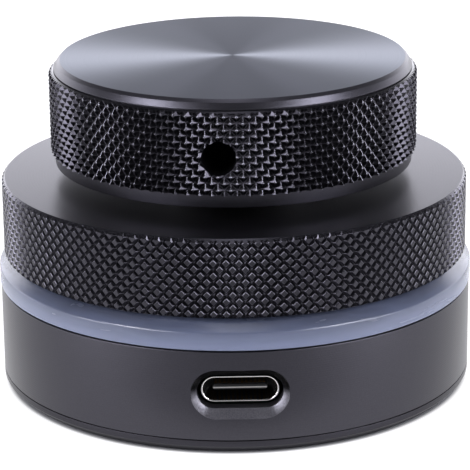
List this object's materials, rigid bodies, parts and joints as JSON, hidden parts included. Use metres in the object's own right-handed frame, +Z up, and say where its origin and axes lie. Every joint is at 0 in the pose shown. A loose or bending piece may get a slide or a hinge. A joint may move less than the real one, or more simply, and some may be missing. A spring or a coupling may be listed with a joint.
{
  "type": "usb volume control knob",
  "caption": "Round desktop USB volume control: knurled press-and-turn knob on a knurled housing, translucent light ring and a base with a USB-C port.",
  "frame": {"origin": "centre of the bottom face of the anti-slip pad, on the table", "axes": "+Z up along the knob's axis, the USB port faces -Y, X is the remaining right-handed axis"},
  "size_m": [0.0572, 0.0572, 0.0395],
  "materials": {
    "pad_rubber": "matte moulded rubber",
    "base_metal": "black anodised, satin, fine turned",
    "milky_plastic": "milky translucent, polished",
    "ring_metal": "black anodised, blasted top, diamond knurl",
    "knob_metal": "black anodised, spun top, diamond knurl",
    "port_steel": "nickel plated",
    "black_plastic": "moulded",
    "gold_plate": "gold flash",
    "board_laminate": "solder mask over glass epoxy",
    "chip_epoxy": "moulded epoxy",
    "ceramic": "fired ceramic with tinned ends",
    "emitter_plastic": "white package with clear lens",
    "encoder_plastic": "moulded",
    "bright_steel": "zinc plated",
    "black_steel": "black oxide",
    "tinned_brass": "tinned",
    "shaft_metal": "turned"
  },
  "bodies": {
    "base": {"anti_slip_pad": "pad_rubber", "bottom_cover": "base_metal", "base_housing": "base_metal", "light_ring": "milky_plastic", "upper_housing": "ring_metal", "cover_screws": "black_steel", "housing_screws": "black_steel", "main_board_screws": "bright_steel", "light_board_screws": "bright_steel", "usb_shell": "port_steel", "usb_tongue": "black_plastic", "usb_contacts": "gold_plate", "main_board": "board_laminate", "controller_chip": "chip_epoxy", "regulator_chip": "chip_epoxy", "board_passives": "ceramic", "board_socket": "black_plastic", "board_header": "black_plastic", "light_board": "board_laminate", "light_emitters": "emitter_plastic", "encoder_case": "encoder_plastic", "encoder_frame": "bright_steel", "encoder_bush": "bright_steel", "encoder_pins": "tinned_brass", "detent_spring": "bright_steel", "switch_dome": "bright_steel", "encoder_washer": "bright_steel", "encoder_nut": "bright_steel"},
    "plunger": {"switch_plunger": "encoder_plastic"},
    "rotor": {"encoder_rotor": "encoder_plastic"},
    "knob": {"encoder_shaft": "shaft_metal", "grub_screw": "black_steel", "knob_body": "knob_metal"}
  },
  "joints": [
    {"name": "knob_press", "type": "slide", "parent": "base", "child": "plunger", "axis": [0, 0, -1], "range_m": [0, 0.0005], "stiffness_N_per_m": 4000, "springref_m": -0.0006, "deforming": ["switch_dome"]},
    {"name": "knob_turn", "type": "hinge", "parent": "plunger", "child": "knob", "pos_m": [0, 0, 0.03], "axis": [0, 0, 1], "continuous": true},
    {"name": "rotor_turn", "type": "hinge", "parent": "base", "child": "rotor", "pos_m": [0, 0, 0.0195], "axis": [0, 0, 1], "continuous": true}
  ],
  "couplings": [
    {"joint": "rotor_turn", "follows": "knob_turn", "ratio": 1}
  ]
}
